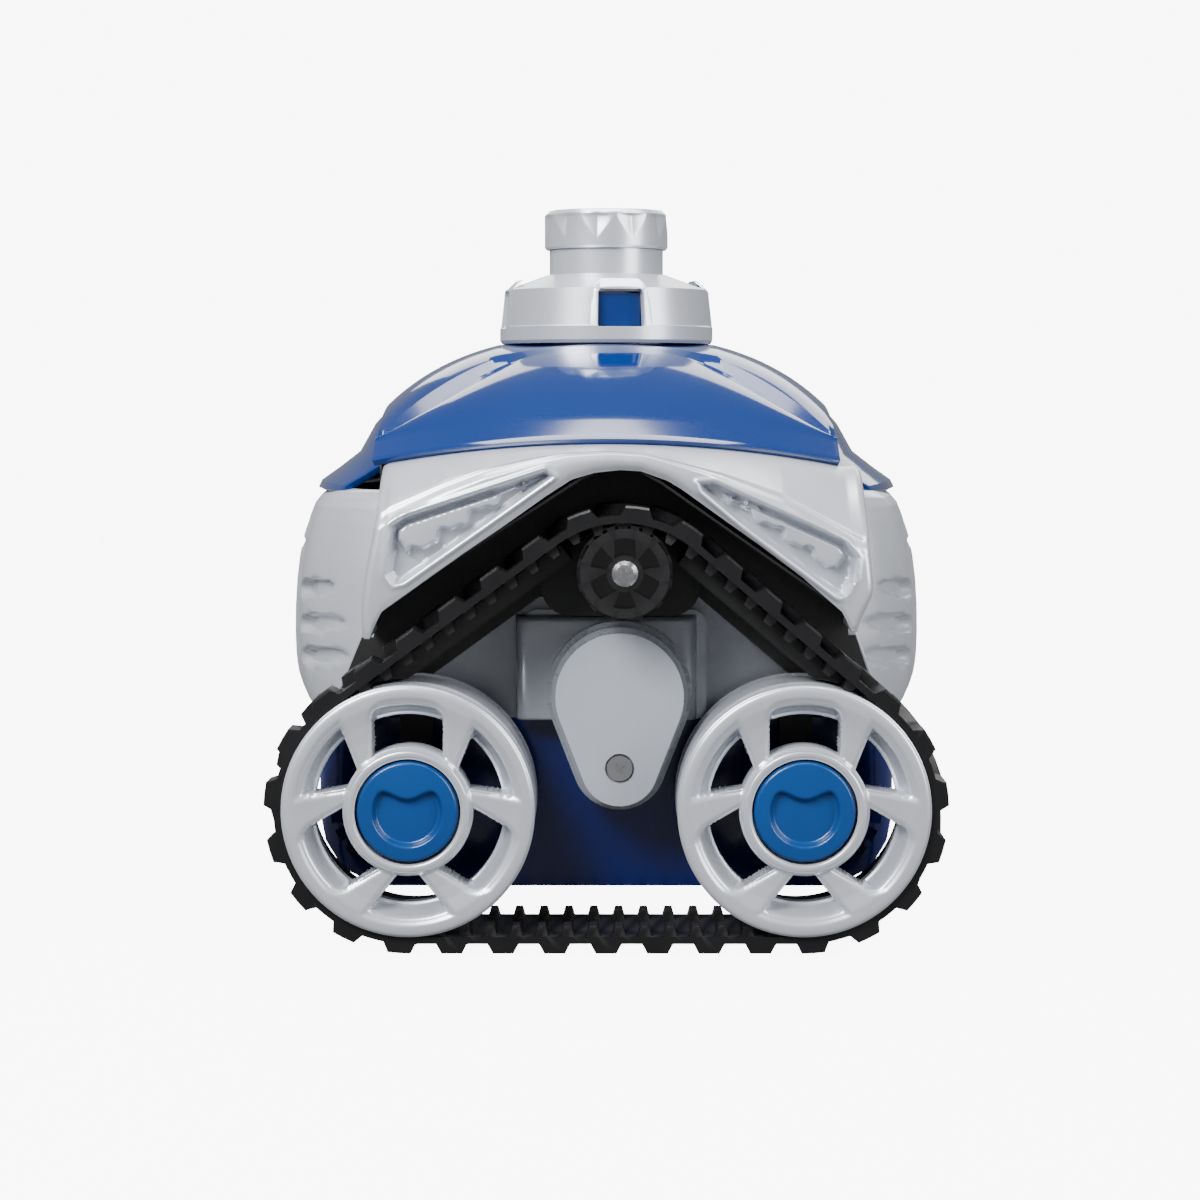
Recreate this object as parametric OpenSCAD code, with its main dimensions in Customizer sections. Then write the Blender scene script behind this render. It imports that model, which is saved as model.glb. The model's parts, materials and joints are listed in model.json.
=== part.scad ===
// Tracked suction-side pool cleaner, millimetres, +Z up, tracks running along X.
// The origin is on the ground, midway between the tracks and between the axles.
// The left side is at -Y, and every right-side piece is its mirror image.

/* [Body] */
// Length over the two end covers
body_l = 282; // [278:0.5:284]
// Half of the chassis width, inside the tracks
chassis_hw = 116; // [115:0.5:116.5]
// Wall thickness of the moulded shells
wall = 3; // [2.4:0.1:3]
// Height of the chassis floor above the ground
floor_z = 17.5; // [17:0.25:18.5]

/* [Tracks] */
// Distance between the wheel axles of one track
wheelbase = 160; // [159:0.5:161]
// Inner radius of the track where it wraps a wheel
wheel_r = 51.5; // [51:0.1:51.8]
// Thickness of the plain rubber band
band_t = 2.8; // [2.4:0.1:3]
// Height of the outer grip lugs
lug_h = 4.2; // [3.6:0.1:4.4]
// Width of the rubber band
track_w = 50; // [49:0.5:50]
// Distance from the middle plane to a track's outer edge
track_out = 175; // [175:0.5:176]

/* [Drive] */
// Number of teeth on each track sprocket
sprocket_teeth = 12; // [12]
// Number of teeth on each pinion of the drive train
pinion_teeth = 10; // [10]
// Number of teeth on each large gear of the drive train
gear_teeth = 26; // [26]
// Module of the drive gears
gear_module = 1.5; // [1.5]
// Number of hinged vanes on the turbine
vanes = 6; // [6]

/* [Hose swivel] */
// Radius of the bore that takes the hose cuff
hose_r = 19.5; // [18.5:0.1:19.5]
// Outer radius of the swivel cap's lower lip
cap_r = 49; // [48:0.25:49]

/* [Hidden] */
$fn = 96;

// Clearances
run = 0.05;      // radial clearance of a shaft in its bearing
gap = 0.4;       // gap between a moving piece and its neighbours

// Colours
silver = [0.74, 0.76, 0.78];
blue = [0.02, 0.33, 0.65];
navy = [0.02, 0.12, 0.38];
grey = [0.52, 0.55, 0.58];
black = [0.06, 0.06, 0.07];
steel = [0.75, 0.75, 0.76];

// Places in the side view, as [x, z]
axle_z = wheel_r + band_t + lug_h;
axle_x = wheelbase / 2;
turbine_at = [5.5, 102];
sprocket_at = [7.5, 154.5];
timer_at = [5.5, 72.75];
brush_at = [62, 32];
half_l = body_l / 2;

// Places across the width, as distances from the middle plane
track_in = track_out - track_w;
wheel_face = track_out + 3;
frame_out = 124;       // outer face of the black track frame
frame_in = 118;        // its inner face
case_in = 97;          // inner face of the gearcase
case_out = 124;        // outer face of the gearcase
bracket_out = 137;     // outer face of the sprocket bracket
cover_out = 152;       // outer face of the gear cover
sprocket_out = 176;    // outer face of the sprocket
cog_rows = [[127, 137], [163, 173]];
chamber_hw = 60;       // half width of the turbine chamber
fender_out = 166;      // outer face of the fender

// ---------------------------------------------------------------- helpers

// Extrudes a side-view outline from y0 to y1.
module slab(y0, y1) {
    translate([0, y1, 0]) rotate([90, 0, 0]) linear_extrude(y1 - y0) children();
}

// A cylinder along Y, from y0 to y1, about the side-view point at.
module rod(at, r, y0, y1) {
    slab(y0, y1) translate(at) circle(r);
}

// Turns a profile of [radius, distance outwards from the middle plane] about a left-side axle.
module turned_left(at, profile) {
    translate([at[0], 0, at[1]]) rotate([90, 0, 0]) rotate_extrude() polygon(profile);
}

module right_side() {
    mirror([0, 1, 0]) children();
}

// A closed solid through a list of equal rings of points, with flat ends.
module loft(rings) {
    n = len(rings[0]);
    m = len(rings);
    polyhedron(
        points = [for (ring = rings, p = ring) p],
        faces = concat(
            [[for (i = [0:n - 1]) i]],
            [[for (i = [n - 1:-1:0]) (m - 1) * n + i]],
            [for (j = [0:m - 2], i = [0:n - 1]) [j * n + i, (j + 1) * n + i, (j + 1) * n + (i + 1) % n]],
            [for (j = [0:m - 2], i = [0:n - 1]) [j * n + i, (j + 1) * n + (i + 1) % n, j * n + (i + 1) % n]]
        )
    );
}

// A rounded rectangle from its low corner to its high corner.
module rounded(lo, hi, r) {
    union() {
        translate([lo[0] + r, lo[1]]) square([hi[0] - lo[0] - 2 * r, hi[1] - lo[1]]);
        translate([lo[0], lo[1] + r]) square([hi[0] - lo[0], hi[1] - lo[1] - 2 * r]);
        for (x = [lo[0] + r, hi[0] - r], y = [lo[1] + r, hi[1] - r]) translate([x, y]) circle(r);
    }
}

// ---------------------------------------------------------------- gears

function inv(a) = tan(a) * 180 / PI - a;

// Outline of an involute gear with one tooth centred at angle phase.
function gear_outline(n, phase) = let (
    r = n * gear_module / 2,
    pressure = 25,
    base = r * cos(pressure),
    tip = r + 0.85 * gear_module,
    root = r - 1.15 * gear_module,
    half = 90 / n - 0.1 / r * 180 / PI,
    start = max(base, root + 0.05),
    steps = 2,
    flank = [for (i = [0:steps]) let (q = start + (tip - start) * i / steps)
        [q, half + inv(pressure) - inv(acos(min(1, base / q)))]]
) [for (k = [0:n - 1]) let (c = phase + k * 360 / n) each concat(
    [[root * cos(c - flank[0][1] - 1), root * sin(c - flank[0][1] - 1)]],
    [for (f = flank) [f[0] * cos(c - f[1]), f[0] * sin(c - f[1])]],
    [for (i = [steps:-1:0]) let (f = flank[i]) [f[0] * cos(c + f[1]), f[0] * sin(c + f[1])]],
    [[root * cos(c + flank[0][1] + 1), root * sin(c + flank[0][1] + 1)]]
)];

module gear(at, n, phase, bore, y0, y1) {
    slab(y0, y1) translate(at) difference() {
        polygon(gear_outline(n, phase));
        circle(bore);
    }
}

function aim(from, to) = atan2(to[1] - from[1], to[0] - from[0]);

// The idler sits beside the line from the turbine to the sprocket, in mesh with both.
mesh_d = (pinion_teeth + gear_teeth) * gear_module / 2;
span = norm(sprocket_at - turbine_at);
lean = acos(span / 2 / mesh_d);
idler_at = turbine_at + mesh_d * [cos(aim(turbine_at, sprocket_at) + lean), sin(aim(turbine_at, sprocket_at) + lean)];
timer_teeth = 16;
cam_drive_teeth = 23;

// ---------------------------------------------------------------- track

// The track runs round three circles [x, z, r]: front wheel, rear wheel and crown.
loop = [[-axle_x, axle_z, wheel_r], [axle_x, axle_z, wheel_r], [6.5, 130.7, 44]];
function leg(a, b) = norm([b[0] - a[0], b[1] - a[1]]);
function normal_angle(a, b) = atan2(b[1] - a[1], b[0] - a[0]) - acos((a[2] - b[2]) / leg(a, b));
function run_length(a, b) = sqrt(pow(leg(a, b), 2) - pow(a[2] - b[2], 2));
n_rear = normal_angle(loop[1], loop[2]);
n_front = normal_angle(loop[2], loop[0]) + 360;
s1 = wheelbase / 2;
s2 = s1 + loop[1][2] * (n_rear + 90) * PI / 180;
s3 = s2 + run_length(loop[1], loop[2]);
s4 = s3 + loop[2][2] * (n_front - n_rear) * PI / 180;
s5 = s4 + run_length(loop[2], loop[0]);
s6 = s5 + loop[0][2] * (270 - n_front) * PI / 180;
perimeter = s6 + s1;
lugs = 33;
pitch = perimeter / lugs;
cog_pitch = pitch / 2;
cog_h = 4;

function on_circle(c, a, h) = [c[0] + (c[2] + h) * cos(a), c[1] + (c[2] + h) * sin(a)];
function on_run(a, b, n, t, h) = on_circle(a, n, h) * (1 - t) + on_circle(b, n, h) * t;
// The point at distance s along the track's inner face, h outwards from it.
function track_point(s, h) = let (u = (s + perimeter) % perimeter)
    u < s1 ? [u, axle_z - wheel_r - h] :
    u < s2 ? on_circle(loop[1], -90 + (u - s1) / loop[1][2] * 180 / PI, h) :
    u < s3 ? on_run(loop[1], loop[2], n_rear, (u - s2) / (s3 - s2), h) :
    u < s4 ? on_circle(loop[2], n_rear + (u - s3) / loop[2][2] * 180 / PI, h) :
    u < s5 ? on_run(loop[2], loop[0], n_front, (u - s4) / (s5 - s4), h) :
    u < s6 ? on_circle(loop[0], n_front + (u - s5) / loop[0][2] * 180 / PI, h) :
    [u - perimeter, axle_z - wheel_r - h];

lug_base = 12.6;
lug_top = 7.8;
track_mid = (track_out + track_in) / 2;
function band_outline(h) = [for (k = [0:lugs * 3 - 1]) track_point(k * pitch / 3, h)];

// One trapezoid at distance s along the track, from height h0 (half width w0) to h1 (half width w1).
module tread(s, h0, w0, h1, w1, y0, y1) {
    hull() slab(y0, y1) polygon([track_point(s - w0, h0), track_point(s - w1, h1),
        track_point(s + w1, h1), track_point(s + w0, h0)]);
}

module left_track() {
    color(black) union() {
        slab(-track_out, -track_in) difference() {
            polygon(band_outline(band_t));
            polygon(band_outline(0));
        }
        for (k = [0:lugs - 1]) {
            tread(k * pitch, band_t - 0.5, lug_base / 2, band_t + lug_h, lug_top / 2, -track_out, -track_mid + 2);
            tread((k + 0.5) * pitch, band_t - 0.5, lug_base / 2, band_t + lug_h, lug_top / 2, -track_mid - 2, -track_in);
        }
        for (k = [0:2 * lugs - 1], row = cog_rows)
            tread((k + 0.5) * cog_pitch, 0.5, 2.3, -cog_h, 1.4, -row[1], -row[0]);
    }
}

// ---------------------------------------------------------------- wheels

axle_r = 8;
hub_r = 25.9;
cap_pocket_r = 21.4;
barrel_in = 43.5;
back_face = track_in + 1;
rim_r = wheel_r - 0.4;
groove_r = wheel_r - cog_h - 1;

// The rounded window is parallel-sided, and the wedge window opens outwards.
module round_window() {
    intersection() {
        rounded([-14.6, 10], [14.6, 44.9], 8);
        difference() {
            circle(44.8);
            circle(hub_r + 0.4);
        }
    }
}

module wedge_window() {
    difference() {
        polygon([[-4, 25], [-18.6, 43], [0, 50], [18.6, 43], [4, 25]]);
        difference() {
            circle(60);
            circle(45.5);
        }
        circle(hub_r + 0.4);
    }
}

module wheel(x) {
    at = [x, axle_z];
    color(silver) difference() {
        turned_left(at, [
            [axle_r + run, back_face + 4], [15, back_face + 4], [15, wheel_face - 26], [hub_r, wheel_face - 16],
            [barrel_in, wheel_face - 14], [barrel_in, back_face], [rim_r, back_face], [rim_r, cog_rows[0][0] - 0.5],
            [groove_r, cog_rows[0][0] - 0.5], [groove_r, cog_rows[0][1] + 0.5], [rim_r, cog_rows[0][1] + 0.5],
            [rim_r, cog_rows[1][0] - 0.5], [groove_r, cog_rows[1][0] - 0.5], [groove_r, cog_rows[1][1] + 0.5],
            [rim_r, cog_rows[1][1] + 0.5], [rim_r, wheel_face - 1], [rim_r - 1.5, wheel_face], [46, wheel_face],
            [44, wheel_face - 2], [hub_r, wheel_face - 2], [hub_r - 1, wheel_face],
            [cap_pocket_r, wheel_face], [cap_pocket_r, wheel_face - 12], [axle_r + run, wheel_face - 12]
        ]);
        for (k = [0:2]) {
            slab(-wheel_face - 1, -wheel_face + 18) translate(at) rotate(120 * k) round_window();
            slab(-wheel_face - 1, -wheel_face + 18) translate(at) rotate(120 * k + 60) wedge_window();
        }
    }
}

module axle_cap(x) {
    color(blue) difference() {
        turned_left([x, axle_z], [
            [0, wheel_face - 9.5], [cap_pocket_r - 0.7, wheel_face - 9.5], [cap_pocket_r - 0.7, wheel_face + 1],
            [cap_pocket_r - 1.7, wheel_face + 2], [0, wheel_face + 3]
        ]);
        translate([x, -wheel_face - 63, axle_z]) sphere(62);
    }
}

module wheel_axles() {
    color(steel) for (side = [1, -1], x = [-axle_x, axle_x]) scale([1, side, 1]) {
        rod([x, axle_z], axle_r, -wheel_face + 9.5, -frame_out);
        rod([x, axle_z], 12, -frame_out - 0.5, -frame_out);
    }
}

// ---------------------------------------------------------------- track frame

function unit(a) = [cos(a), sin(a)];
// One arm of the A-frame: a bar under the track's sloping run, from depth d0 to d1 below the band.
module arm(n, low, high, d0, d1) {
    a = on_circle(low, n, -d0);
    b = on_circle(high, n, -d0);
    c = on_circle(high, n, -d1);
    d = on_circle(low, n, -d1);
    polygon([a, b, c, d]);
}

module frame_plate() {
    arm(n_front, loop[0], loop[2], 5.6, 15);
    arm(n_rear, loop[1], loop[2], 5.6, 15);
    intersection() {
        translate([loop[2][0], loop[2][1]]) circle(loop[2][2] - 5.6);
        translate([-27, 142]) square([66, 34]);
    }
    for (x = [-axle_x, axle_x]) {
        translate([x, axle_z]) circle(17);
        translate([x - 7, axle_z]) square([14, 38]);
    }
}

module left_track_frame() {
    color(black) difference() {
        union() {
            slab(-frame_out, -frame_in) frame_plate();
            for (x = [-axle_x, axle_x]) rod([x, axle_z], 13, -frame_in, -chassis_hw);
            slab(-159, -frame_out) {
                arm(n_front, loop[0], loop[2], 5.6, 9);
                arm(n_rear, loop[1], loop[2], 5.6, 9);
            }
            slab(-159, -cog_rows[0][1] - 1) {
                arm(n_front, loop[0], loop[2], 1, 5.6);
                arm(n_rear, loop[1], loop[2], 1, 5.6);
            }
            slab(-bracket_out, -frame_out) intersection() {
                rounded([-27, 134.5], [39, 170], 12);
                translate([loop[2][0], loop[2][1]]) circle(loop[2][2] - cog_h - 1.2);
            }
        }
        rod(sprocket_at, 6 + run, -bracket_out - 1, -frame_in + 1);
        rod(sprocket_at, 22, -160, -bracket_out);
        rod([-axle_x, axle_z], wheel_r + 0.5, -160, -frame_out - 0.5);
        rod([axle_x, axle_z], wheel_r + 0.5, -160, -frame_out - 0.5);
    }
}

// ---------------------------------------------------------------- sprocket and drive shaft

sprocket_r = 20;
// The tooth slots are turned to match the nearest cog to the top of the track.
s_top = s3 + loop[2][2] * (90 - n_rear) * PI / 180 - (sprocket_at[0] - loop[2][0]);
cog_shift = s_top / cog_pitch - 0.5 - round(s_top / cog_pitch - 0.5);
slot_phase = 90 - cog_shift * 360 / sprocket_teeth;
sprocket_in = bracket_out + 1;

module left_sprocket() {
    color(black) difference() {
        union() {
            rod(sprocket_at, 15.4, -sprocket_out, -sprocket_in);
            rod(sprocket_at, 18, -sprocket_out, -sprocket_out + 2.6);
            slab(-sprocket_out + 2.6, -161) translate(sprocket_at) difference() {
                circle(sprocket_r - 0.6);
                for (k = [0:sprocket_teeth - 1]) rotate(slot_phase + 360 / sprocket_teeth * k)
                    polygon([[15.2, -2.2], [21, -3.9], [21, 3.9], [15.2, 2.2]]);
            }
            rod(sprocket_at, sprocket_r - 0.6, -161, -sprocket_in);
        }
        for (k = [0:2]) slab(-sprocket_out - 1, -sprocket_out + 7) translate(sprocket_at) rotate(120 * k)
            intersection() {
                difference() {
                    circle(14.2);
                    circle(7.4);
                }
                union() {
                    translate([-4.2, 3]) square([8.4, 16]);
                    rotate(60) polygon([[-1, 4], [-5.6, 16], [5.6, 16], [1, 4]]);
                }
            }
        rod(sprocket_at, 2.9, -sprocket_out - 1, -sprocket_in + 1);
    }
}

module left_sprocket_screw() {
    color(steel) difference() {
        union() {
            turned_left(sprocket_at, [[0, sprocket_out], [5.4, sprocket_out], [5.2, sprocket_out + 1.6],
                [3.6, sprocket_out + 3], [0, sprocket_out + 3.4]]);
            rod(sprocket_at, 2.9, -sprocket_out, -sprocket_out + 14);
        }
        for (a = [20, 110]) slab(-sprocket_out - 5, -sprocket_out - 1.2) translate(sprocket_at)
            rotate(a) translate([-2.6, -0.5]) square([5.2, 1]);
    }
}

module left_drive_shaft() {
    color(steel) {
        rod(sprocket_at, 6, -sprocket_in, -107);
        rod(sprocket_at, 2.9, -sprocket_out + 14, -sprocket_in);
    }
    color("white") gear(sprocket_at, gear_teeth, aim(sprocket_at, idler_at), 6, -113, -108);
}

// ---------------------------------------------------------------- gear train

pin_r = 3;
module left_idler_gear() {
    big_phase = aim(idler_at, turbine_at);
    small_phase = aim(idler_at, sprocket_at) + 180 / pinion_teeth;
    color("white") {
        gear(idler_at, gear_teeth, big_phase, pin_r + run, -106, -101);
        gear(idler_at, pinion_teeth, small_phase, pin_r + run, -113, -106);
    }
}

module left_timer_gear() {
    color("white") {
        gear(timer_at, timer_teeth, aim(timer_at, turbine_at) + 180 / timer_teeth, pin_r + run, -134, -129);
        slab(-138, -134) translate(timer_at) difference() {
            union() {
                circle(8);
                translate([2, 0]) circle(8);
            }
            circle(pin_r + run);
        }
    }
}

// The fixed pins that the idler and timer gears turn on.
module gear_pins() {
    color(steel) for (side = [1, -1]) scale([1, side, 1]) {
        rod(idler_at, pin_r, -case_out + wall, -case_in - wall);
        rod(timer_at, pin_r, -142, -frame_out);
    }
}

module turbine_gears() {
    color("white") for (side = [1, -1]) scale([1, side, 1]) {
        gear(turbine_at, pinion_teeth, aim(turbine_at, idler_at) + 180 / pinion_teeth, 4, -106, -101);
        gear(turbine_at, cam_drive_teeth, aim(turbine_at, timer_at), 4, -134, -129);
    }
    color(grey) rod_ring(turbine_at, 10, 4, -80, -72);
}

module rod_ring(at, r, bore, y0, y1) {
    slab(y0, y1) translate(at) difference() {
        circle(r);
        circle(bore);
    }
}

module turbine_shaft() {
    color(steel) rod(turbine_at, 4, -140, 140);
}

module turbine_bearings() {
    color(steel) for (side = [1, -1]) scale([1, side, 1]) {
        rod_ring(turbine_at, 8, 4 + run, -chamber_hw - 6, -chamber_hw - 1);
        rod_ring(turbine_at, 8, 4 + run, -case_in - 3, -case_in + 1);
    }
}

// ---------------------------------------------------------------- turbine

hinge_r = 15;
vane_l = 23;
module turbine_rotor() {
    color(blue) difference() {
        rod_ring(turbine_at, hinge_r + 1, 4, -chamber_hw + 4, chamber_hw - 4);
        for (k = [0:vanes - 1]) {
            a = 90 + k * 360 / vanes;
            rod(turbine_at + hinge_r * unit(a), 2.9, -chamber_hw + 8, chamber_hw - 8);
            slab(-chamber_hw + 8, chamber_hw - 8) translate(turbine_at + hinge_r * unit(a)) rotate(a)
                polygon([[0, -2.4], [4, -5], [4, 2.4], [0, 2.4]]);
        }
    }
}

// A hinged vane: a round root in the rotor's groove and a blade that folds back.
module turbine_vane(k) {
    a = 90 + (k - 1) * 360 / vanes;
    color("deepskyblue") {
        rod(turbine_at + hinge_r * unit(a), 2.5, -chamber_hw + 9, chamber_hw - 9);
        slab(-chamber_hw + 9, chamber_hw - 9) translate(turbine_at + hinge_r * unit(a)) rotate(a)
            polygon([[0, -1], [vane_l * 0.5, -0.2], [vane_l, 1.6], [vane_l, 3.4], [vane_l * 0.5, 1.8], [0, 1]]);
    }
}

chamber_r = 42;
module turbine_housing() {
    color(grey) difference() {
        union() {
            rod(turbine_at, chamber_r + wall, -chamber_hw - wall, chamber_hw + wall);
            for (side = [-1, 1]) scale([1, side, 1]) rod(turbine_at, 10, -chamber_hw - 6, -chamber_hw);
        }
        rod(turbine_at, chamber_r, -chamber_hw, chamber_hw);
        rod(turbine_at, 4.5, -80, 80);
        for (side = [-1, 1]) scale([1, side, 1]) rod(turbine_at, 8, -chamber_hw - 6.5, -chamber_hw - 1);
        translate([-28, -40, 40]) cube([56, 80, 40]);
        translate([0, 0, 120]) cylinder(r = 20, h = 40);
    }
}

// ---------------------------------------------------------------- chassis

module chassis_side() {
    polygon([[-97, floor_z], [97, floor_z], [112, 25], [120, 36], [123, 48], [123, 89.5], [-123, 89.5],
        [-123, 48], [-120, 36], [-112, 25]]);
}

module chassis_inside() {
    polygon([[-95, floor_z + wall], [95, floor_z + wall], [110, 28], [117, 38], [120, 49], [120, 95],
        [-120, 95], [-120, 49], [-117, 38], [-110, 28]]);
}

module chassis_plan(inset) {
    rounded([-123 + inset, -chassis_hw + inset], [123 - inset, chassis_hw - inset], 16);
}

module lower_chassis() {
    color(navy) difference() {
        union() {
            difference() {
                intersection() {
                    slab(-chassis_hw, chassis_hw) chassis_side();
                    linear_extrude(100) chassis_plan(0);
                }
                intersection() {
                    slab(-chassis_hw + wall, chassis_hw - wall) chassis_inside();
                    linear_extrude(100) chassis_plan(wall);
                }
            }
            for (y = [-94, 90], side = [-1, 1]) translate([side * brush_at[0] - 12, y, floor_z])
                cube([24, 4, 24]);
        }
        for (side = [-1, 1]) {
            translate([side * brush_at[0] - 26, -88, 0]) cube([52, 176, floor_z + wall + 1]);
            rod([side * brush_at[0], brush_at[1]], 4 + run, -95, 95);
            vent_slots(side);
            end_slots(side);
        }
        translate([-33, -43, 0]) cube([66, 86, 40]);
        screw_places() cylinder(r = 2.2, h = 60, center = true);
    }
}

// Slots fanned round the lower corner of each side wall.
module vent_slots(side) {
    for (k = [0:4], edge = [-1, 1]) {
        a = 192 + 17 * k;
        scale([-side, edge, 1]) slab(-chassis_hw - 1, -chassis_hw + wall + 1)
            translate([-90, 52]) rotate(a) translate([19, -2.6]) square([9, 5.2]);
    }
}

// Slots across each end, above the floor.
module end_slots(side) {
    for (k = [-3:3]) translate([side * 121 - 6, 24 * k - 8, 50]) cube([12, 16, 6]);
}

module screw_places() {
    for (x = [-36, 36], y = [-52, 52]) translate([x, y, floor_z - 3.2]) children();
}

module chassis_screws() {
    color(steel) screw_places() {
        translate([0, 0, -0.5]) cylinder(r = 4, h = 0.5);
        cylinder(r = 2.1, h = 11);
    }
}

module intake_plate() {
    color(black) difference() {
        union() {
            translate([0, 0, floor_z - 3.2]) linear_extrude(3.2) rounded([-41, -84], [41, 84], 8);
            translate([-32.7, -42.7, floor_z - 3.2]) cube([65.4, 85.4, 51]);
        }
        translate([-29.7, -39.7, 0]) cube([59.4, 79.4, 90]);
        rod(turbine_at, chamber_r + wall, -70, 70);
        screw_places() cylinder(r = 2.2, h = 20, center = true);
    }
}

module outlet_duct() {
    color(grey) difference() {
        union() {
            translate([0, 0, 120]) cylinder(r = 23, h = 124);
            translate([0, 0, 238]) cylinder(r = 30.5, h = 25);
        }
        translate([0, 0, 100]) cylinder(r = 20, h = 200);
        rod(turbine_at, chamber_r + wall, -70, 70);
    }
}

// ---------------------------------------------------------------- brushes

module brush() {
    color(black) {
        rod(brush_at, 4, -95.5, 95.5);
        rod_ring(brush_at, 8.5, 4, -80, -72);
    }
    color(blue) difference() {
        rod(brush_at, 8, -68, 84);
        rod(brush_at, 4, -70, 90);
    }
    for (k = [0:5]) color(k % 2 == 0 ? blue : black)
        slab(-68, 84) translate(brush_at) rotate(60 * k) polygon([[7.8, -1.4], [24.5, 1], [24.5, 2.8], [7.8, 1.4]]);
}

belt_loop = [
    [-brush_at[0], brush_at[1], 8.55], [brush_at[0], brush_at[1], 8.55], [turbine_at[0], turbine_at[1], 10.05]
];
module belt_outline(h) {
    hull() for (c = belt_loop) translate([c[0], c[1]]) circle(c[2] + h, $fn = 48);
}

module brush_belt() {
    color(black) slab(-79, -73) difference() {
        belt_outline(1.6);
        belt_outline(0);
    }
}

// ---------------------------------------------------------------- gearcase and cover

module case_outline(inset) {
    rounded([-35 + inset, 89.5 + inset], [45 - inset, 141 - inset], 6);
    rounded([-25 + inset, 120 + inset], [35 - inset, 179 - inset], 6);
}

module left_gearcase() {
    color(grey) difference() {
        union() {
            slab(-frame_in + 0.5, -case_in) case_outline(0);
            slab(-case_out, -frame_in + 0.5) rounded([-35, 89.5], [42, 136], 6);
            slab(-chassis_hw, -chassis_hw + 7) rounded([-77, 89.5], [88, 140], 8);
        }
        slab(-frame_in + wall, -case_in - wall) case_outline(wall);
        slab(-case_out + wall, -frame_in + 2 * wall) rounded([-32, 92.5], [39, 133], 5);
        rod(turbine_at, 8, -case_in - wall - 1, -case_in + 1);
        rod(turbine_at, 5, -case_out - 1, -case_in);
        rod(sprocket_at, 6.5, -case_out - 1, -case_in - wall - 1);
    }
}

cover_top = 26.4;
cover_low = 15.8;
flare = 3.8;
module teardrop(grow) {
    hull() {
        translate(turbine_at) circle(cover_top + grow, $fn = 64);
        translate(timer_at) circle(cover_low + grow, $fn = 48);
    }
}

module left_gear_cover() {
    color(silver) difference() {
        union() {
            slab(-cover_out, -cover_out + 8) teardrop(0);
            slab(-cover_out + 8, -cover_out + 16) teardrop(flare / 2);
            slab(-cover_out + 16, -case_out) teardrop(flare);
        }
        slab(-cover_out + wall, -case_out + 1) teardrop(-wall);
        slab(-cover_out + 17, -case_out + 1) teardrop(flare - wall);
        rod(timer_at, 6, -cover_out - 1, -cover_out + 2);
        rod(timer_at, 3.2, -cover_out - 1, -cover_out + 4);
    }
}

module gear_cover_screws() {
    color(steel) for (side = [1, -1]) scale([1, side, 1]) difference() {
        union() {
            rod(timer_at, 5.3, -cover_out - 0.8, -cover_out + 2);
            rod(timer_at, 3, -cover_out + 2, -142);
        }
        for (a = [30, 120]) slab(-cover_out - 2, -cover_out + 0.8) translate(timer_at)
            rotate(a) translate([-2.6, -0.5]) square([5.2, 1]);
    }
}

// ---------------------------------------------------------------- outer shells

// The hood's section curves, each as [y, z] at station x: ridge, crest, crease and rim.
function ridge_z(x) = min(249, 160 + 93.5 * sqrt(max(0, 1 - pow(abs(x) / 125, 2.5))));
function crest(x) = [-(55 + 40 * pow(abs(x) / 90, 1.75)), 248 - 38.7 * pow(abs(x) / 88, 2.15)];
function crease(x) = [-(135 - 38 * pow(abs(x) / 88, 2)), 217.5 - 8 * pow(abs(x) / 88, 2)];
function rim(x) = [-(150 - 28 * pow(abs(x) / 100, 2)), 208 - 10 * pow(abs(x) / 100, 2)];
function between(a, b, t) = a * (1 - t) + b * t;
// The left half of a hood section, from the ridge out to the rim.
function hood_half(x) = let (c = crest(x), top = ridge_z(x)) concat(
    [for (i = [0:4]) let (t = i / 5) [c[0] * t, c[1] + (top - c[1]) * sqrt(1 - t * t)]],
    [for (i = [0:3]) between(c, crease(x), i / 3)],
    [rim(x)]
);
function hood_ring(x, drop) = let (half = hood_half(x), n = len(half), in = drop * 0.6) concat(
    [for (i = [n - 1:-1:1]) [x, -half[i][0] - in, half[i][1] - drop]],
    [[x, 0, half[0][1] - drop]],
    [for (i = [1:n - 1]) [x, half[i][0] + in, half[i][1] - drop]]
);

hood_end = 98;
hood_steps = 7;
module hood_core(drop, reach) {
    for (k = [-hood_steps:hood_steps - 1]) hull() loft([
        hood_ring(k * reach / hood_steps, drop), hood_ring((k + 1) * reach / hood_steps, drop)
    ]);
}

module hood() {
    color(blue) difference() {
        union() {
            hood_core(0, hood_end);
            hood_lip(-1);
            hood_lip(1);
        }
        hood_core(wall, hood_end + 0.01);
        translate([0, 0, 200]) cylinder(r = 30.5, h = 60);
    }
}

// The end of the dome, turned about the same upright axis as the end cover below it.
module hood_lip(side) {
    scale([side, 1, 1]) translate([half_l - end_r, 0, 0]) rotate([0, 0, -20]) rotate_extrude(angle = 40)
        polygon([[end_r - 47, 228], [end_r - 28, 200], [end_r - 10, 187], [end_r - 10, 184],
            [end_r - 28, 196], [end_r - 47, 222]]);
}

// The end covers are turned about an upright axis, so that they bulge at the middle.
end_r = 235;
end_half_angle = 27;
module end_cover(side) {
    color(silver) scale([side, 1, 1]) translate([half_l - end_r, 0, 0]) rotate([0, 0, -end_half_angle])
        rotate_extrude(angle = 2 * end_half_angle) polygon([
            [end_r - 34, 89.5], [end_r - 5, 89.5], [end_r - 1, 104], [end_r, 122], [end_r - 1, 146], [end_r - 4, 164],
            [end_r - 8, 178], [end_r - 20, 186], [end_r - 22, 183], [end_r - 11, 175], [end_r - 7, 162],
            [end_r - 4, 145], [end_r - 3, 122], [end_r - 4, 104], [end_r - 7, 92.5], [end_r - 34, 92.5]
        ]);
}

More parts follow.
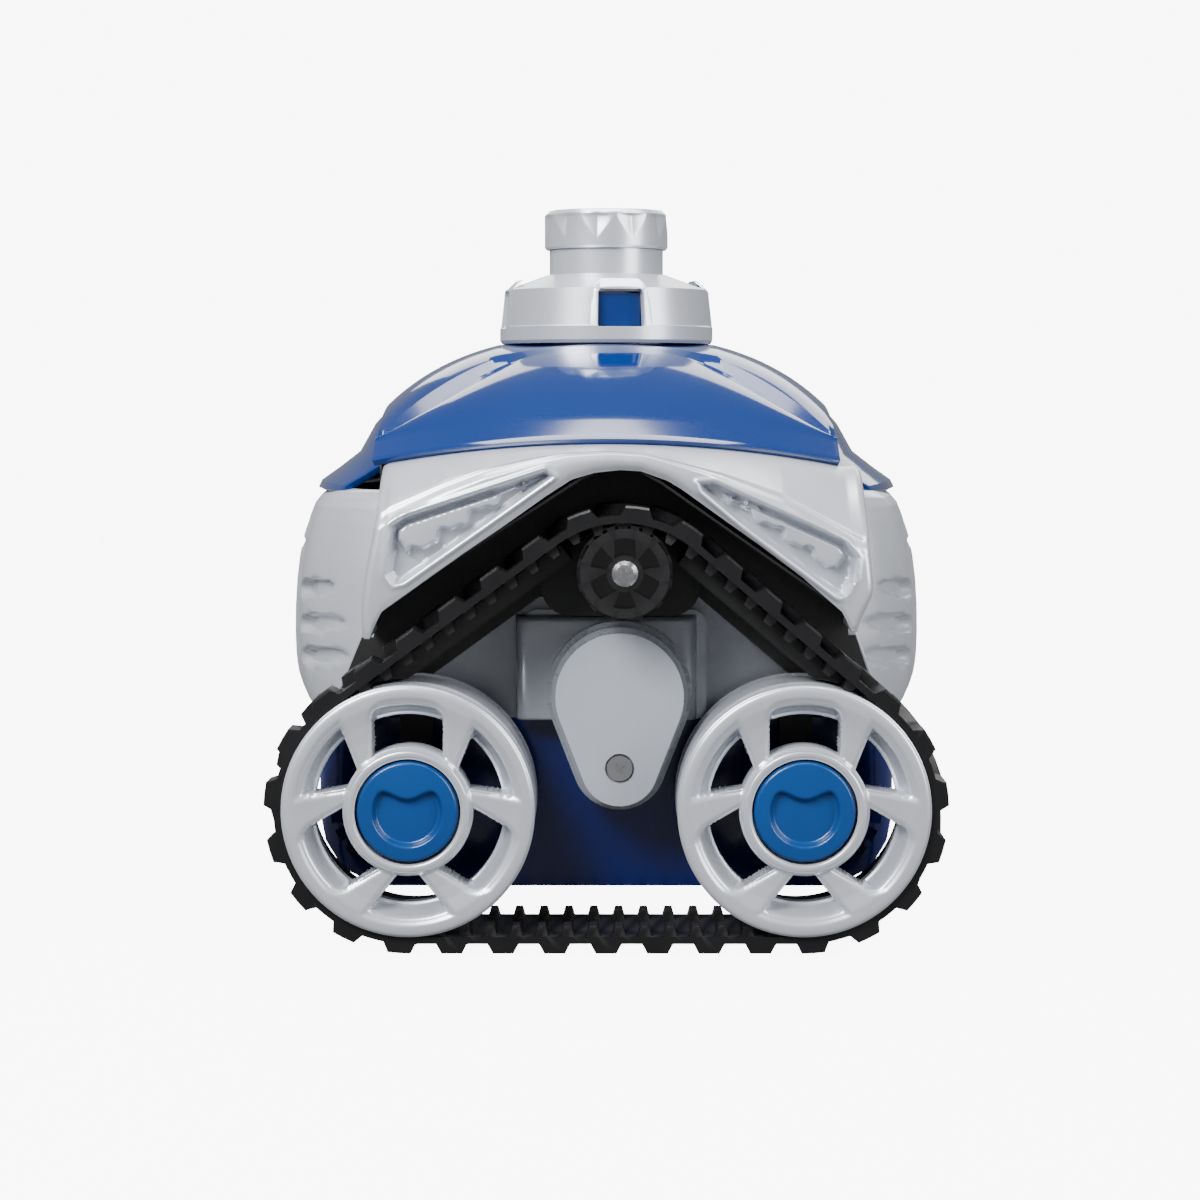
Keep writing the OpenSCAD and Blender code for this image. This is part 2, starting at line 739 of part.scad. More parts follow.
// The fender's outer face runs from its top line down to the arch over the track.
function top_line(x) = x < 0 ? 202 - 22 * pow(-x / 90, 1.8) : 202 - 32 * pow(x / 100, 2);
function arch_line(x) = x < -5 ? 194 - (-5 - x) * 0.645 : x > 15 ? 194 - (x - 15) * 0.70 : 195;
function fender_section(x) = let (t = top_line(x), a = arch_line(x), r = rim(x)) [
    [x, r[0] + 0.5, r[1] - 4], [x, -fender_out + 3, t], [x, -fender_out, t - 3], [x, -fender_out, a],
    [x, -fender_out + wall, a], [x, -fender_out + wall, t - 4], [x, -fender_out + 6, t - wall - 1],
    [x, r[0] + 0.5, r[1] - 4 - wall]
];

module vent_triangle(side) {
    if (side < 0) polygon([[-22, 193], [-84, 176], [-87, 154], [-82, 153]]);
    else polygon([[37, 188], [96, 163], [93, 148], [88, 147]]);
}

module left_fender() {
    stations = concat([-90], [for (x = [-84:12:96]) x], [99]);
    color(silver) difference() {
        union() {
            loft([for (x = stations) fender_section(x)]);
            slab(-fender_out, -fender_out + wall) {
                polygon([[-90, 180], [-90, 139], [-96, 125], [-102, 125], [-98, 160]]);
                polygon([[99, 171], [99, 135], [98, 129], [106, 126], [105, 160]]);
            }
            slab(-fender_out + wall, -chassis_hw - 1) {
                polygon([[-99, 125], [-102, 125], [-98, 160], [-90, 180], [-87, 176], [-95, 158]]);
                polygon([[103, 126], [106, 126], [105, 160], [99, 171], [96, 168], [102, 158]]);
            }
            slab(-chassis_hw - 1, -chassis_hw + 2) {
                polygon([[-120, 89.5], [-102, 125], [-98, 160], [-90, 180], [-90, 141.5], [-98, 89.5]]);
                polygon([[120, 89.5], [106, 126], [105, 160], [99, 171], [99, 141.5], [104, 89.5]]);
            }
        }
        slab(-fender_out - 1, -fender_out + wall / 2) for (side = [-1, 1]) vent_triangle(side);
    }
}

// The dark liner behind the track, with a lip that follows the fender's arch.
module left_arch_liner() {
    xs = [for (x = [-88:11:99]) x];
    color(black) {
        slab(-121, -118.4) difference() {
            polygon([[-117, 90], [-103, 124], [-98, 124], [-94, 158], [-86, 175], [-60, 190], [6, 200], [60, 190],
                [95, 167], [101, 157], [102, 125], [105, 125], [117, 90]]);
            polygon(band_outline(-4.6));
        }
        slab(-fender_out + wall, -121) polygon(concat(
            [for (x = xs) [x, arch_line(x) + 1]], [for (i = [len(xs) - 1:-1:0]) [xs[i], arch_line(xs[i]) + 2.2]]));
    }
}

// ---------------------------------------------------------------- hose swivel

base_z = 249;
module swivel_base() {
    color(blue) difference() {
        union() {
            translate([0, 0, base_z]) cylinder(r = 43.5, h = 22.2);
            translate([0, 0, base_z]) cylinder(r = 45, h = 4);
        }
        translate([0, 0, base_z - 1]) cylinder(r = 30.5, h = 16);
        translate([0, 0, base_z + 14]) cylinder(r = 38, h = 20);
    }
}

module swivel_cap() {
    color(silver) difference() {
        translate([0, 0, base_z + 0.2]) rotate_extrude() polygon([
            [45.2, 0], [cap_r - 1, 0], [cap_r, 1.5], [cap_r, 7.5], [cap_r - 0.6, 8], [cap_r - 2.4, 24.5],
            [27.5, 31.5], [26.4, 31.5], [26.4, 28.5], [43.7, 22.5], [43.7, 4.2], [45.2, 4.2]
        ]);
        for (k = [0:3]) rotate([0, 0, 90 * k + 8]) translate([-10.5, -cap_r - 1, base_z + 7]) cube([21, 8, 17]);
    }
}

module swivel_seal() {
    color(black) translate([0, 0, 264.7]) rotate_extrude() translate([28.6, 0]) circle(1.7);
}

// The rotating neck: a flange held under the cap and the bore that takes the hose cuff.
module swivel_neck() {
    color(silver) difference() {
        union() {
            translate([0, 0, 238]) cylinder(r = 19.6, h = 31);
            translate([0, 0, 266.9]) cylinder(r = 36, h = 6.4);
            translate([0, 0, 268]) cylinder(r = 26.1, h = 24);
            translate([0, 0, 290]) cylinder(r = 24.9, h = 18);
        }
        translate([0, 0, 230]) cylinder(r = 17, h = 60);
        translate([0, 0, 278]) cylinder(r = hose_r, h = 40);
    }
}

module twist_ring() {
    color(silver) difference() {
        translate([0, 0, 292.3]) rotate_extrude() polygon([
            [24.9, 0], [27.6, 0], [28.3, 0.8], [28.3, 15.5], [26.3, 17.7], [24.9, 17.7]
        ]);
        for (k = [0:7]) rotate([0, 0, 45 * k + 10]) translate([30.6, 0, 314]) rotate([0, -12, 0])
            cylinder(r = 5, h = 26, center = true);
    }
}

// ---------------------------------------------------------------- the nodes

lower_chassis();
intake_plate();
turbine_housing();
outlet_duct();
hood();
left_fender();
right_side() left_fender();  // right_fender
left_arch_liner();
right_side() left_arch_liner();  // right_arch_liner
end_cover(1);  // rear_cover
end_cover(-1);  // front_cover
swivel_base();
swivel_cap();
swivel_seal();
swivel_neck();
twist_ring();
left_gearcase();
right_side() left_gearcase();  // right_gearcase
left_gear_cover();
right_side() left_gear_cover();  // right_gear_cover
left_track_frame();
right_side() left_track_frame();  // right_track_frame
wheel_axles();
axle_cap(axle_x);  // rear_left_axle_cap
axle_cap(-axle_x);  // front_left_axle_cap
right_side() axle_cap(axle_x);  // rear_right_axle_cap
right_side() axle_cap(-axle_x);  // front_right_axle_cap
wheel(axle_x);  // rear_left_wheel
wheel(-axle_x);  // front_left_wheel
right_side() wheel(axle_x);  // rear_right_wheel
right_side() wheel(-axle_x);  // front_right_wheel
left_track();
right_side() left_track();  // right_track
left_sprocket();
right_side() left_sprocket();  // right_sprocket
left_sprocket_screw();
right_side() left_sprocket_screw();  // right_sprocket_screw
left_drive_shaft();
right_side() left_drive_shaft();  // right_drive_shaft
left_idler_gear();
right_side() left_idler_gear();  // right_idler_gear
left_timer_gear();
right_side() left_timer_gear();  // right_timer_gear
gear_pins();
gear_cover_screws();
chassis_screws();
turbine_shaft();
turbine_rotor();
turbine_vane(1);  // turbine_vane_1
turbine_vane(2);  // turbine_vane_2
turbine_vane(3);  // turbine_vane_3
turbine_vane(4);  // turbine_vane_4
turbine_vane(5);  // turbine_vane_5
turbine_vane(6);  // turbine_vane_6
turbine_gears();
turbine_bearings();
brush();  // rear_brush
mirror([1, 0, 0]) brush();  // front_brush
brush_belt();
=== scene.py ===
import json
import math
import bpy
import bmesh
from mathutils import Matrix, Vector


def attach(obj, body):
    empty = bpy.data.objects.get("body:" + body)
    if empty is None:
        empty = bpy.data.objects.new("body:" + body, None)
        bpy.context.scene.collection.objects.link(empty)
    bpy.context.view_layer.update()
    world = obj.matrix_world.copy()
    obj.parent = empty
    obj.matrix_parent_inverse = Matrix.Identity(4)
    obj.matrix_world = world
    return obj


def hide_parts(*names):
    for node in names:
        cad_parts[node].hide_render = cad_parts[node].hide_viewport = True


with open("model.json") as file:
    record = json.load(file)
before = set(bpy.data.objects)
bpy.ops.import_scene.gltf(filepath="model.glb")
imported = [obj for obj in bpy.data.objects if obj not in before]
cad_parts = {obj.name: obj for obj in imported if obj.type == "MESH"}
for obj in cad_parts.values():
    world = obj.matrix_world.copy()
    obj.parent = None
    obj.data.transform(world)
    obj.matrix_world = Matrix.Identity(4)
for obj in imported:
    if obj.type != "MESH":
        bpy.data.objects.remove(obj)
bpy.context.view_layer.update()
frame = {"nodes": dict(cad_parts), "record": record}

MM = 0.001
NODES = frame["nodes"]


# ---------------------------------------------------------------- materials

def srgb(r, g, b):
    """A colour given as 0-255 sRGB, in linear light."""
    linear = (((c / 255 + 0.055) / 1.055) ** 2.4 if c > 10 else c / 255 / 12.92 for c in (r, g, b))
    return tuple(linear) + (1.0,)


def plastic(name, color, rough, metallic=0.0, coat=0.0, grain=0.15, grain_mm=0.6, vary=0.06,
            flakes=0.0, wear=0.12, spec=0.5):
    """Moulded plastic or paint: fine grain, slow colour drift, uneven gloss and paler worn edges."""
    mat = bpy.data.materials.new(name)
    mat.use_nodes = True
    mat.diffuse_color = color
    nt = mat.node_tree
    nodes, links = nt.nodes, nt.links
    bsdf = nodes["Principled BSDF"]
    bsdf.inputs["Metallic"].default_value = metallic
    bsdf.inputs["Coat Weight"].default_value = coat
    bsdf.inputs["Coat Roughness"].default_value = 0.06
    bsdf.inputs["Specular IOR Level"].default_value = spec
    coords = nodes.new("ShaderNodeTexCoord")

    def shade(gain, lift=0.0):
        """The plastic's own colour, made lighter or darker."""
        return tuple(min(1, c * gain + lift) for c in color[:3]) + (1,)

    def noise(scale, detail, roughness=0.5):
        n = nodes.new("ShaderNodeTexNoise")
        n.inputs["Scale"].default_value = scale
        n.inputs["Detail"].default_value = detail
        n.inputs["Roughness"].default_value = roughness
        links.new(coords.outputs["Object"], n.inputs["Vector"])
        return n

    def remap(source, low, high, out_low, out_high):
        m = nodes.new("ShaderNodeMapRange")
        m.inputs["From Min"].default_value = low
        m.inputs["From Max"].default_value = high
        m.inputs["To Min"].default_value = out_low
        m.inputs["To Max"].default_value = out_high
        links.new(source, m.inputs["Value"])
        return m.outputs["Result"]

    def paint(under, over, amount, source, low, high):
        """Lays the colour over on under, a colour or a socket, as source goes from low to high."""
        mix = nodes.new("ShaderNodeMix")
        mix.data_type = "RGBA"
        links.new(remap(source, low, high, 0, amount), mix.inputs["Factor"])
        if isinstance(under, tuple):
            mix.inputs["A"].default_value = under
        else:
            links.new(under, mix.inputs["A"])
        mix.inputs["B"].default_value = over
        return mix.outputs["Result"]

    drift = noise(14, 4)
    out = paint(shade(1 - vary), shade(1 + vary), 1, drift.outputs["Fac"], 0.35, 0.65)
    if flakes:
        speck = noise(2600, 1)
        out = paint(out, shade(1.6, 0.1), flakes, speck.outputs["Fac"], 0.55, 0.75)
    if wear:
        geometry = nodes.new("ShaderNodeNewGeometry")
        out = paint(out, shade(1.35, 0.08), wear, geometry.outputs["Pointiness"], 0.52, 0.60)
    links.new(out, bsdf.inputs["Base Color"])
    patches = noise(55, 5, 0.6)
    uneven = remap(patches.outputs["Fac"], 0.3, 0.7, max(0.02, rough * 0.92), rough * 1.1)
    links.new(uneven, bsdf.inputs["Roughness"])
    fine = noise(1000 / grain_mm, 3)
    bump = nodes.new("ShaderNodeBump")
    bump.inputs["Strength"].default_value = grain
    bump.inputs["Distance"].default_value = 0.00008
    links.new(fine.outputs["Fac"], bump.inputs["Height"])
    links.new(bump.outputs["Normal"], bsdf.inputs["Normal"])
    return mat


def steel(name, color, rough):
    """Stainless steel: a finer grain, and highlights stretched one way."""
    mat = plastic(name, color, rough, metallic=1.0, grain=0.25, grain_mm=0.25, vary=0.04, wear=0.2)
    bsdf = mat.node_tree.nodes["Principled BSDF"]
    bsdf.inputs["Anisotropic"].default_value = 0.5
    return mat


MATS = {
    "silver_plastic": plastic("silver_satin", srgb(205, 209, 217), 0.30, metallic=0.55, coat=0.15,
                              flakes=0.06, vary=0.02, wear=0.05),
    "blue_gloss": plastic("blue_gloss", srgb(0, 38, 98), 0.10, coat=0.45, grain=0.03, wear=0.05),
    "navy_gloss": plastic("navy_gloss", srgb(0, 22, 92), 0.2, coat=0.2, grain=0.05, wear=0.04),
    "housing_grey": plastic("housing_grey", srgb(158, 162, 170), 0.24, metallic=0.2, coat=0.3,
                            grain=0.08),
    "cover_grey": plastic("cover_grey", srgb(178, 183, 193), 0.3, metallic=0.4, coat=0.15,
                          flakes=0.06, vary=0.02, wear=0.05),
    # A darker copy of the cover grey: painted shade for the gear covers' side walls.
    "cover_side": plastic("cover_side", srgb(128, 132, 140), 0.28, metallic=0.2, coat=0.3,
                          grain=0.08),
    "black_gloss": plastic("black_gloss", srgb(12, 12, 14), 0.14, coat=0.5, grain=0.05, wear=0.1),
    "black_plastic": plastic("black_plastic", srgb(13, 13, 15), 0.42, grain=0.3, wear=0.1),
    "track_rubber": plastic("track_rubber", srgb(13, 13, 15), 0.42, grain=0.6, grain_mm=0.4,
                            vary=0.15, wear=0.2, spec=0.35),
    "cap_blue": plastic("cap_blue", srgb(0, 58, 118), 0.24, coat=0.2, grain=0.1),
    "brush_rubber": plastic("brush_rubber", srgb(14, 84, 150), 0.5, grain=0.4),
    "seal_rubber": plastic("seal_rubber", srgb(20, 20, 20), 0.5, grain=0.3),
    "gear_plastic": plastic("gear_plastic", srgb(228, 228, 222), 0.38, grain=0.15),
    "vane_plastic": plastic("vane_plastic", srgb(30, 120, 180), 0.35, grain=0.15),
    "stainless": steel("stainless", srgb(205, 205, 208), 0.24),
}
for sub in frame["record"]["subparts"]:
    slots = NODES[sub["node"]].data.materials
    slots.clear()
    slots.append(MATS[sub["material_slot"]])


# ---------------------------------------------------------------- mesh helpers

def make(name, verts_mm, faces, slot, body="body", smooth_angle=35, right=False):
    """A mesh piece from points in millimetres. right mirrors it to the right-hand side."""
    mesh = bpy.data.meshes.new(name)
    side = -1 if right else 1
    mesh.from_pydata([(x * MM, y * MM * side, z * MM) for x, y, z in verts_mm], [],
                     [tuple(reversed(f)) if right else tuple(f) for f in faces])
    mesh.validate()
    for p in mesh.polygons:
        p.use_smooth = True
    mesh.set_sharp_from_angle(angle=math.radians(smooth_angle))
    obj = bpy.data.objects.new(name, mesh)
    bpy.context.scene.collection.objects.link(obj)
    obj.data.materials.append(MATS[slot])
    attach(obj, body)
    return obj


def side_name(right):
    return "right" if right else "left"


def grid_faces(rows, cols, wrap_rows=False, wrap_cols=False, flip=False):
    """Four-cornered faces over a grid of points listed row by row."""
    faces = []
    for i in range(rows if wrap_rows else rows - 1):
        for j in range(cols if wrap_cols else cols - 1):
            a, b = i * cols + j, i * cols + (j + 1) % cols
            c, d = ((i + 1) % rows) * cols + (j + 1) % cols, ((i + 1) % rows) * cols + j
            faces.append((a, d, c, b) if flip else (a, b, c, d))
    return faces


def centre(verts, face):
    """The mean of a four-cornered face's points."""
    return [sum(values) / 4 for values in zip(*(verts[k] for k in face))]


def thicken(obj, mm):
    """Gives a sheet a wall on its inner side."""
    m = obj.modifiers.new("wall", "SOLIDIFY")
    m.thickness = mm * MM
    m.offset = -1


def bevel(obj, mm, segments=2, angle=30):
    """Rounds every edge that turns by more than the angle, in degrees."""
    m = obj.modifiers.new("edge", "BEVEL")
    m.width = mm * MM
    m.segments = segments
    m.limit_method = "ANGLE"
    m.angle_limit = math.radians(angle)


def smoothstep(low, high, v):
    """0 below low, 1 above high, and a smooth ramp between them."""
    t = min(1, max(0, (v - low) / (high - low)))
    return t * t * (3 - 2 * t)


def along(table, v):
    """Linear look-up in a list of (key, value)."""
    if v <= table[0][0]:
        return table[0][1]
    for (a, p), (b, q) in zip(table, table[1:]):
        if v <= b:
            return p + (q - p) * (v - a) / (b - a)
    return table[-1][1]


def inside_depth(poly, x, z):
    """Signed distance from the edge of a closed outline: positive inside."""
    best = 1e9
    inside = False
    for (x0, z0), (x1, z1) in zip(poly, poly[1:] + poly[:1]):
        dx, dz = x1 - x0, z1 - z0
        t = max(0, min(1, ((x - x0) * dx + (z - z0) * dz) / (dx * dx + dz * dz)))
        best = min(best, math.hypot(x - x0 - t * dx, z - z0 - t * dz))
        if (z0 > z) != (z1 > z) and x < x0 + (z - z0) / (z1 - z0) * dx:
            inside = not inside
    return best if inside else -best


# ---------------------------------------------------------------- hood

HOOD_END = 98  # how far the hood's main sheet runs each way; its lips go further
NECK_OPENING_R = 34  # its uneven edge lies under the swivel base
COVER_X = 141  # how far the end covers reach at the middle
LIP_R = 235  # the lips are arcs round a point this far back from COVER_X
LIP_SPREAD = 23  # degrees each side of the middle
# A lip from top to bottom, as (arc radius, z).
LIP_PROFILE = [(180, 231), (190, 224), (200, 213), (207, 200.5), (216, 193.5), (224.5, 187.5), (226, 184.5)]
LIP_BASE_Z = 184


def ridge_z(x):
    """Height of the hood along its middle."""
    return min(249, 160 + 93.5 * math.sqrt(max(0, 1 - (abs(x) / 125) ** 2.5)))


def crest(x):
    """(y, z) where the domed top turns into the flank."""
    a = min(abs(x), HOOD_END)
    return -(55 + 40 * (a / 90) ** 1.75), min(248 - 38.7 * (a / 88) ** 2.15, ridge_z(x) - 1)


def crease(x):
    """(y, z) where the flank turns into the rim."""
    a = min(abs(x), HOOD_END)
    return -(135 - 30 * (a / HOOD_END) ** 2), 217.5 - 8 * (a / 88) ** 2


def rim(x):
    """(y, z) of the hood's outer edge, which the fender's top meets."""
    return -(150 - 28 * (x / 100) ** 2), 208 - 10 * (x / 100) ** 2


def hood_row(x, dome_steps=13, flank_steps=16, rim_steps=5):
    """Points (y, z) from the ridge out to the left rim."""
    top, c, k, r = ridge_z(x), crest(x), crease(x), rim(x)
    row = []
    for i in range(dome_steps):
        t = i / dome_steps
        row.append((c[0] * t, c[1] + (top - c[1]) * math.sqrt(1 - t * t)))
    for i in range(flank_steps + 1):
        t = i / flank_steps
        belly = 3.2 * math.sin(math.pi * t)
        row.append((c[0] + (k[0] - c[0]) * t - belly * 0.4, c[1] + (k[1] - c[1]) * t + belly))
    for i in range(1, rim_steps + 1):
        t = i / rim_steps
        row.append((k[0] + (r[0] - k[0]) * t, k[1] + (r[1] - k[1]) * t))
    return row


def hood_section(x):
    """Points (y, z) right across the hood, from rim to rim."""
    half = hood_row(x)
    return [(-y, z) for y, z in reversed(half[1:])] + half


def lip_points(end, steps):
    """The lip under one end of the hood, which curls down over the end cover."""
    points = []
    for r, z in LIP_PROFILE:
        for i in range(steps):
            a = math.radians(-LIP_SPREAD + 2 * LIP_SPREAD * i / (steps - 1))
            fade = 1 - (abs(a) / math.radians(LIP_SPREAD)) ** 4 * 0.25
            x = COVER_X - LIP_R + r * math.cos(a)
            points.append((end * x, r * math.sin(a), LIP_BASE_Z + (z - LIP_BASE_Z) * fade))
    return points


def build_hood():
    """The main sheet, open round the swivel's neck, and a lip at each end."""
    steps, lip_steps = 72, 33
    verts = []
    for i in range(steps + 1):
        x = -HOOD_END + 2 * HOOD_END * i / steps
        verts += [(x, y, z) for y, z in hood_section(x)]
    cols = len(hood_section(0))
    faces = [f for f in grid_faces(steps + 1, cols)
             if math.hypot(*centre(verts, f)[:2]) > NECK_OPENING_R]
    for end in (-1, 1):
        base = len(verts)
        lip_faces = grid_faces(len(LIP_PROFILE), lip_steps, flip=end > 0)
        faces += [tuple(base + k for k in f) for f in lip_faces]
        verts += lip_points(end, lip_steps)
    hood = make("hood_shell", verts, faces, "blue_gloss", smooth_angle=24)
    thicken(hood, 2.6)
    bevel(hood, 0.7, 2, 40)
    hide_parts("hood")


build_hood()


# ---------------------------------------------------------------- fenders

# Outlines of the fender's outer face, as (x, z).
ARCH = [(-96, 127), (-94.6, 131), (-91.1, 138.1), (-74.2, 150.2), (-57.7, 161.9), (-41.1, 173.2),
        (-24.6, 184.9), (-14.1, 191.7), (-4.8, 194.5), (5.6, 195.6), (14.1, 195.1), (24.6, 191.3),
        (30.7, 187.7), (43.6, 178.4), (63.3, 164.3), (79.9, 151.8), (95.6, 138.1), (98.4, 132.6),
        (100, 129)]
CREASE = [(-98, 172), (-87.9, 180), (-65.7, 189.7), (-49.2, 195.6), (-29.4, 200.2), (-16.5, 202.4),
          (0, 203.2), (15.7, 202.2), (46.8, 193.7), (71.8, 184.9), (104.5, 167.5), (106, 166)]
FRONT_VENT = [(-89.1, 153.4), (-87.1, 173.2), (-82.3, 176.6), (-24.6, 195.6), (-21.8, 192.9),
              (-41.1, 179.2), (-82.3, 150.2), (-85.9, 149.4)]
REAR_VENT = [(37.5, 190.5), (43.6, 190.9), (96.8, 166.9), (101.5, 160.5), (100.6, 151.8), (97, 144.7),
              (93.8, 144.5), (55.3, 173.2), (38.7, 187.3)]
# Each vent with the two ends of its arch side, along which the tongue leaves a gap.
VENTS = ((FRONT_VENT, ((-21.8, 192.9), (-82.3, 150.2))), (REAR_VENT, ((38.7, 187.3), (93.8, 144.5))))
FENDER_Y = -166  # the outer face
FENDER_TOP_Y = FENDER_Y + 2.2
FENDER_INNER_Y = -117  # the inner edges of the end walls, and the web's outer face


def tongue_depth(poly, edge, x, z):
    """Signed distance into the raised tongue of a vent: it leaves a wavy gap along the arch side."""
    (x0, z0), (x1, z1) = edge
    length = math.hypot(x1 - x0, z1 - z0)
    ux, uz = (x1 - x0) / length, (z1 - z0) / length
    t = (x - x0) * ux + (z - z0) * uz
    away = abs((x - x0) * uz - (z - z0) * ux)
    wave = 1.5 * math.sin(t * 0.42) + 0.7 * math.sin(t * 0.9 + 1)
    return min(inside_depth(poly, x, z) - 2.4, away - 3.4 - 4.4 * t / length - wave, length * 0.9 - t)


def fender_relief(x, z):
    """How far the outer face is sunk at (x, z)."""
    sunk = 0
    for poly, edge in VENTS:
        d = inside_depth(poly, x, z)
        if d > -3:
            tongue = 5.0 * smoothstep(0, 1.6, tongue_depth(poly, edge, x, z))
            sunk += 7.5 * smoothstep(-0.2, 2.4, d) - tongue
            sunk -= 0.7 * math.exp(-((d + 1.1) / 0.9) ** 2)
    return sunk


def build_fender(right):
    """The outer face, the top that runs up to the hood's rim, and the two end walls, as one sheet."""
    cols, rows, top_rows, wrap = 250, 70, 16, 14
    corner = 2.6
    total = cols + 2 * wrap
    verts = []
    for j in range(rows + top_rows):
        r = min(1, j / (rows - 1))
        xl = -96 + 5.5 * smoothstep(0, 0.9, r) - 2.5 * math.sin(math.pi * r)
        xr = 99.5 + 6.0 * smoothstep(0, 0.5, r) - 1.5 * smoothstep(0.5, 1, r)
        for i in range(total):
            t = min(1, max(0, (i - wrap) / (cols - 1)))
            x = xl + (xr - xl) * t
            zb, zt = along(ARCH, x), along(CREASE, x)
            z = zb + (zt - zb) * r
            bulge = 2.0 * (1 - math.sin(math.pi * min(1, r * 1.02)))
            y = FENDER_Y + bulge * 0.6 + 2.2 * smoothstep(0.86, 1.0, r)
            lip = math.exp(-((z - zb) / 2.2) ** 2) if r < 0.5 else 0
            y += 0.5 * lip
            if j < rows:
                y += fender_relief(x, z) * (1 - smoothstep(0.97, 1, r))
            else:
                k = (j - rows + 1) / top_rows
                ry, rz = rim(max(-99, min(99, x)))
                y = FENDER_TOP_Y + (ry + 1.5 - FENDER_TOP_Y) * k
                z = zt + (rz - 2.2 - zt) * (math.sin(k * math.pi / 2) * 0.55 + 0.45 * k)
            if i < wrap or i >= total - wrap:
                q = (wrap - i) / wrap if i < wrap else (i - (total - wrap) + 1) / wrap
                out = -1 if i < wrap else 1
                inner = FENDER_INNER_Y - 4 * (1 - q)
                turn = min(1, q * 6)
                x += out * corner * math.sin(turn * math.pi / 2)
                reach = max(0, q - 1 / 6) * 6 / 5 * (inner - y - corner)
                y = y + corner * (1 - math.cos(turn * math.pi / 2)) + reach
                if j >= rows:
                    z = zt + (z - zt) * (1 - 0.5 * q)
            verts.append((x, y, z))
    name = side_name(right)
    fender = make(name + "_fender_shell", verts, grid_faces(rows + top_rows, total), "silver_plastic",
                  smooth_angle=40, right=right)
    thicken(fender, 2.4)
    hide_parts(name + "_fender")


def build_fender_web(right):
    """The two legs that carry the fender down to the track frame."""
    legs = ([(-119, 90), (-104, 125), (-100, 158), (-92, 178), (-88, 160), (-98, 90)],
            [(119, 90), (106, 126), (105, 158), (99, 169), (97, 150), (104, 90)])
    thickness = 2.6
    verts, faces = [], []
    for leg in legs:
        b, n = len(verts), len(leg)
        verts += [(x, FENDER_INNER_Y, z) for x, z in leg]
        verts += [(x, FENDER_INNER_Y + thickness, z) for x, z in leg]
        faces += [tuple(range(b, b + n)), tuple(range(b + 2 * n - 1, b + n - 1, -1))]
        faces += [(b + i, b + n + i, b + n + (i + 1) % n, b + (i + 1) % n) for i in range(n)]
    web = make(side_name(right) + "_fender_web", verts, faces, "silver_plastic", right=right)
    bevel(web, 0.5)


for right in (False, True):
    build_fender(right)
    build_fender_web(right)


# ---------------------------------------------------------------- end covers

# The outline of a cover along its middle, as (z, x from COVER_X).
END_PROFILE = [(89.7, -7), (93, -4.5), (98, -2.6), (104, -1.2), (113, -0.3), (122, 0), (134, -0.2), (146, -1),
               (156, -2.3), (164, -4), (172, -6.2), (178, -8.6), (182, -12), (184.6, -17), (185.6, -23)]
SIDE_GILLS = ((92, 143), (96, 128), (97, 114))  # centres, as (distance from the middle, z)


def cover_x(reach, y):
    """How far an end cover stands out at y, where it reaches furthest at the middle."""
    return reach - 0.00115 * y * y - 26 * (max(0, abs(y) - 80) / 36.5) ** 2.4


def gill(y, z, y0, z0, half_w, half_h, tilt):
    """1 inside a slanted oval recess, on both sides of the middle, and 0 outside it."""
    dy, dz = abs(y) - y0, z - z0 - tilt * (abs(y) - y0)
    v = (dy / half_w) ** 2 + (dz / half_h) ** 2
    return 1 - smoothstep(0.6, 1.15, v)


def cover_relief(y, z):
    """How far the cover's face is sunk at (y, z): three gills and a slot each side, less a raised rib."""
    sunk = 0
    for gy, gz in SIDE_GILLS:
        sunk += 5 * gill(y, z, gy, gz, 13, 4.2, 0.12)
    sunk += 3.0 * gill(y, z, 40, 163, 30, 4.5, -0.05)
    rib = math.exp(-((abs(y) - 68) / 2.0) ** 2)
    sunk -= 1.2 * rib * smoothstep(92, 110, z) * (1 - smoothstep(165, 180, z))
    return sunk


def build_cover(end):
    """The curved end wall below the hood's lip."""
    name = "rear" if end > 0 else "front"
    rows, cols, half_w = 90, 150, 116.5
    bottom, top = END_PROFILE[0][0], END_PROFILE[-1][0]
    verts = []
    for j in range(rows):
        z = bottom + (top - bottom) * (1 - (1 - j / (rows - 1)) ** 1.6)
        reach = COVER_X + along(END_PROFILE, z)
        for i in range(cols):
            y = -half_w + 2 * half_w * i / (cols - 1)
            verts.append((end * (cover_x(reach, y) - cover_relief(y, z)), y, z))
    shell = make(name + "_cover_shell", verts, grid_faces(rows, cols, flip=end < 0), "silver_plastic",
                 smooth_angle=50)
    thicken(shell, 2.6)
    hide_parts(name + "_cover")


build_cover(1)
build_cover(-1)


# ---------------------------------------------------------------- black sheets for painted shade under the hood

DECK_Z = 182
DECK_HOLE_R = 44  # round the outlet
BULKHEAD_X = 94


def build_hood_shade_deck():
    """A black sheet under the hood: painted shade, which closes the view between the hood and the end covers.
    """
    steps, half_w = 60, 115
    ys = [-half_w + 2 * half_w * j / steps for j in range(steps + 1)]
    verts = []
    for y in ys:
        reach = cover_x(122, y)
        hole = math.sqrt(max(0, DECK_HOLE_R ** 2 - y * y)) + 0.01
        verts += [(-reach, y, DECK_Z), (-hole, y, DECK_Z), (hole, y, DECK_Z), (reach, y, DECK_Z)]
    faces = []
    for j in range(steps):
        faces += [(4 * j + k, 4 * j + k + 1, 4 * j + k + 5, 4 * j + k + 4) for k in (0, 2)]
        if min(abs(ys[j]), abs(ys[j + 1])) >= DECK_HOLE_R:
            faces.append((4 * j + 1, 4 * j + 2, 4 * j + 6, 4 * j + 5))
    deck = make("hood_shade_deck", verts, faces, "black_plastic")
    thicken(deck, 1.5)


